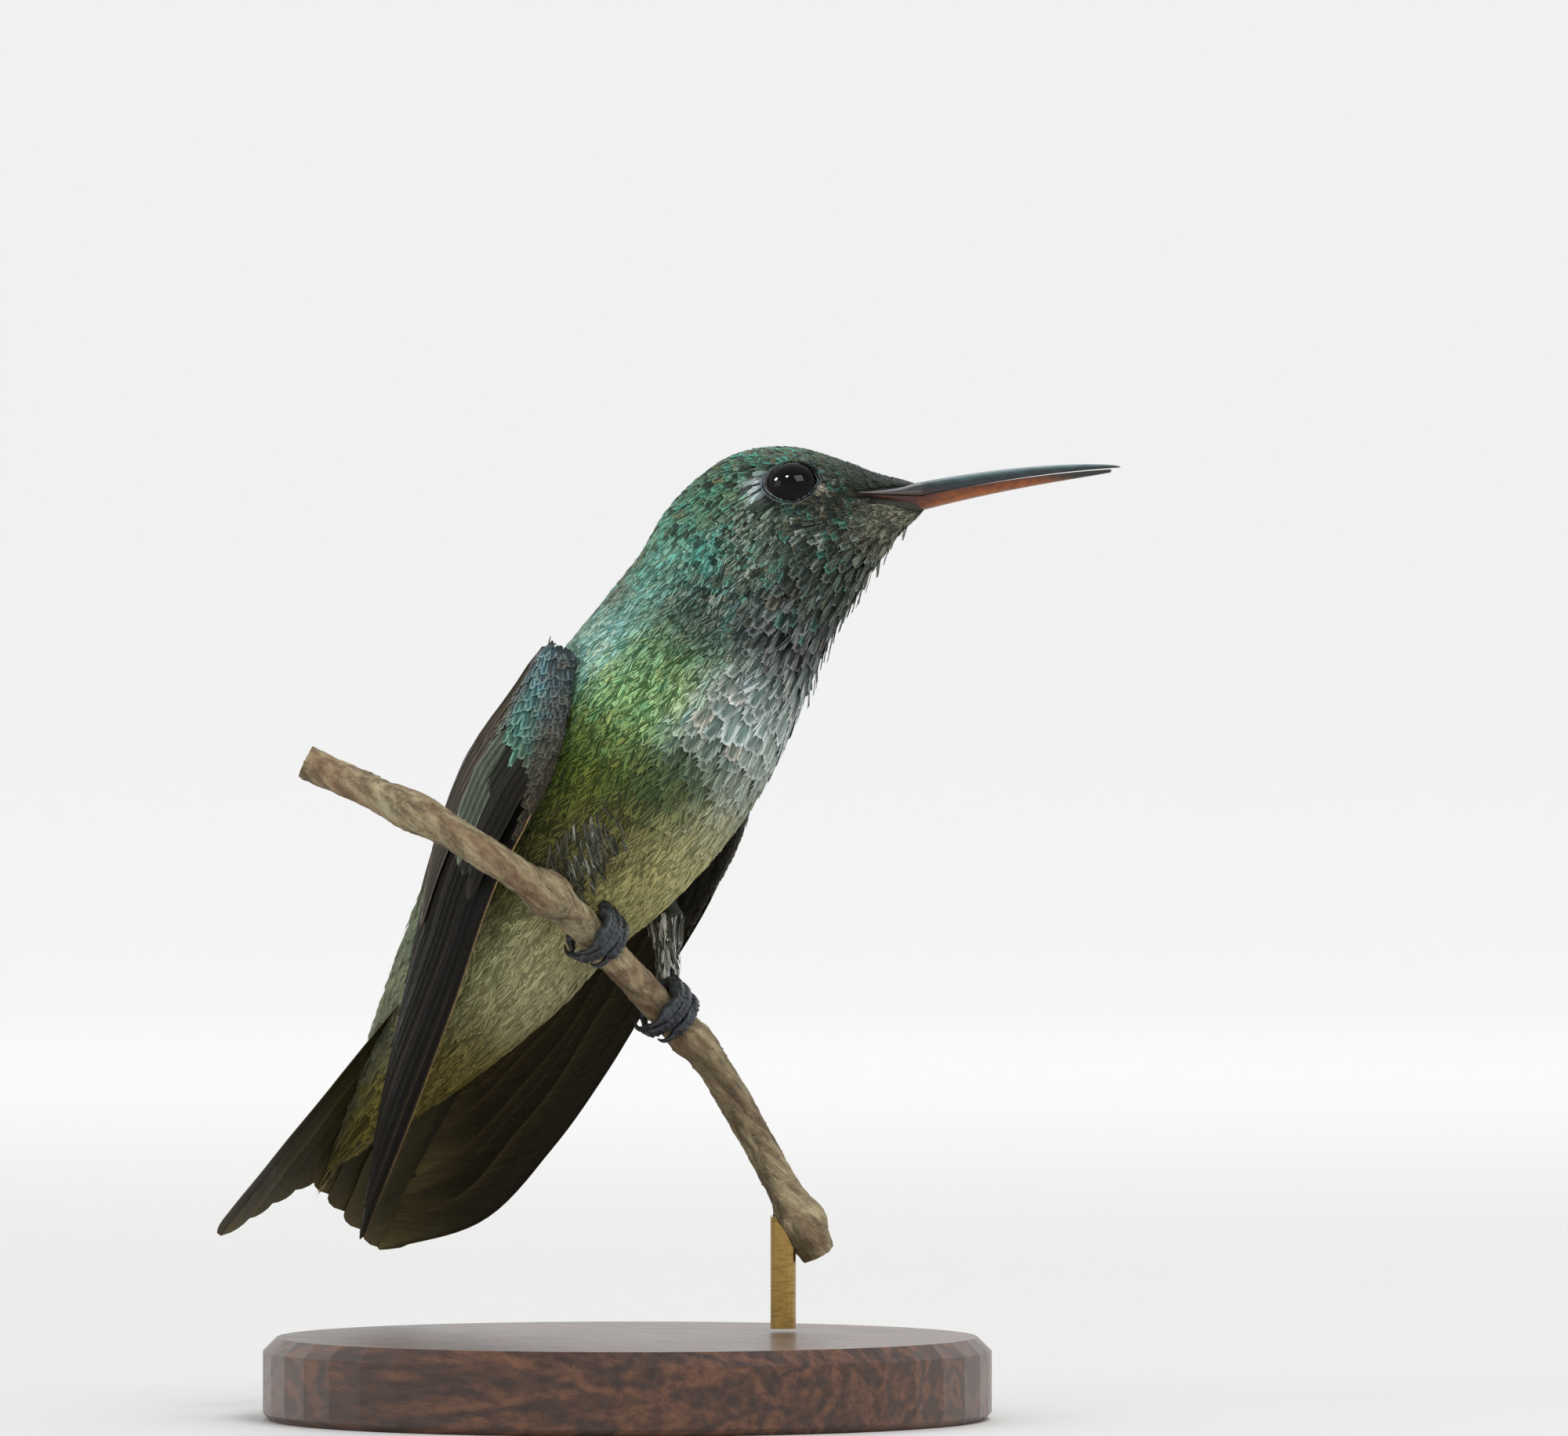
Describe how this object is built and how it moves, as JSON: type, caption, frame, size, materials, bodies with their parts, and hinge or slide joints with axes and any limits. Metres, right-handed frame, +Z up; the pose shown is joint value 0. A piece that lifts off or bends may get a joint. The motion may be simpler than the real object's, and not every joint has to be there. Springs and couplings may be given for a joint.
{
  "type": "perched hummingbird model on a stand",
  "caption": "Life-size still model of a green hummingbird with a straight red and black bill, gripping a cut twig held by a short rod over a round wooden base.",
  "frame": {"origin": "centre of the underside of the stand's base", "axes": "+Z up, +X the way that the bird's trunk faces, +Y to the bird's left; the head is turned 28 degrees to the left"},
  "size_m": [0.0774, 0.062, 0.0827],
  "materials": {
    "head_plumage": "glossy green feathers, dark on the crown and throat",
    "green_plumage": "iridescent green feathers",
    "belly_plumage": "soft buff and olive feathers",
    "flight_feathers": "blackish brown vanes with a faint gloss",
    "tail_feathers": "blackish green vanes with pale rims",
    "upper_bill": "smooth blue-black horn",
    "lower_bill": "smooth orange-red horn with a dark tip",
    "eye": "wet black",
    "feet": "scaly blackish grey skin",
    "bark": "rough greyish brown bark",
    "brass": "polished",
    "stand_wood": "satin dark hardwood"
  },
  "bodies": {
    "root": {"head": "head_plumage", "neck": "head_plumage", "trunk": "green_plumage", "rump": "belly_plumage", "tail": "tail_feathers", "wing_right": "flight_feathers", "wing_left": "flight_feathers", "thigh_right": "belly_plumage", "thigh_left": "belly_plumage", "foot_right": "feet", "foot_left": "feet", "bill_upper": "upper_bill", "bill_lower": "lower_bill", "eye_right": "eye", "eye_left": "eye", "perch": "bark", "stand_rod": "brass", "stand_base": "stand_wood"}
  },
  "joints": []
}
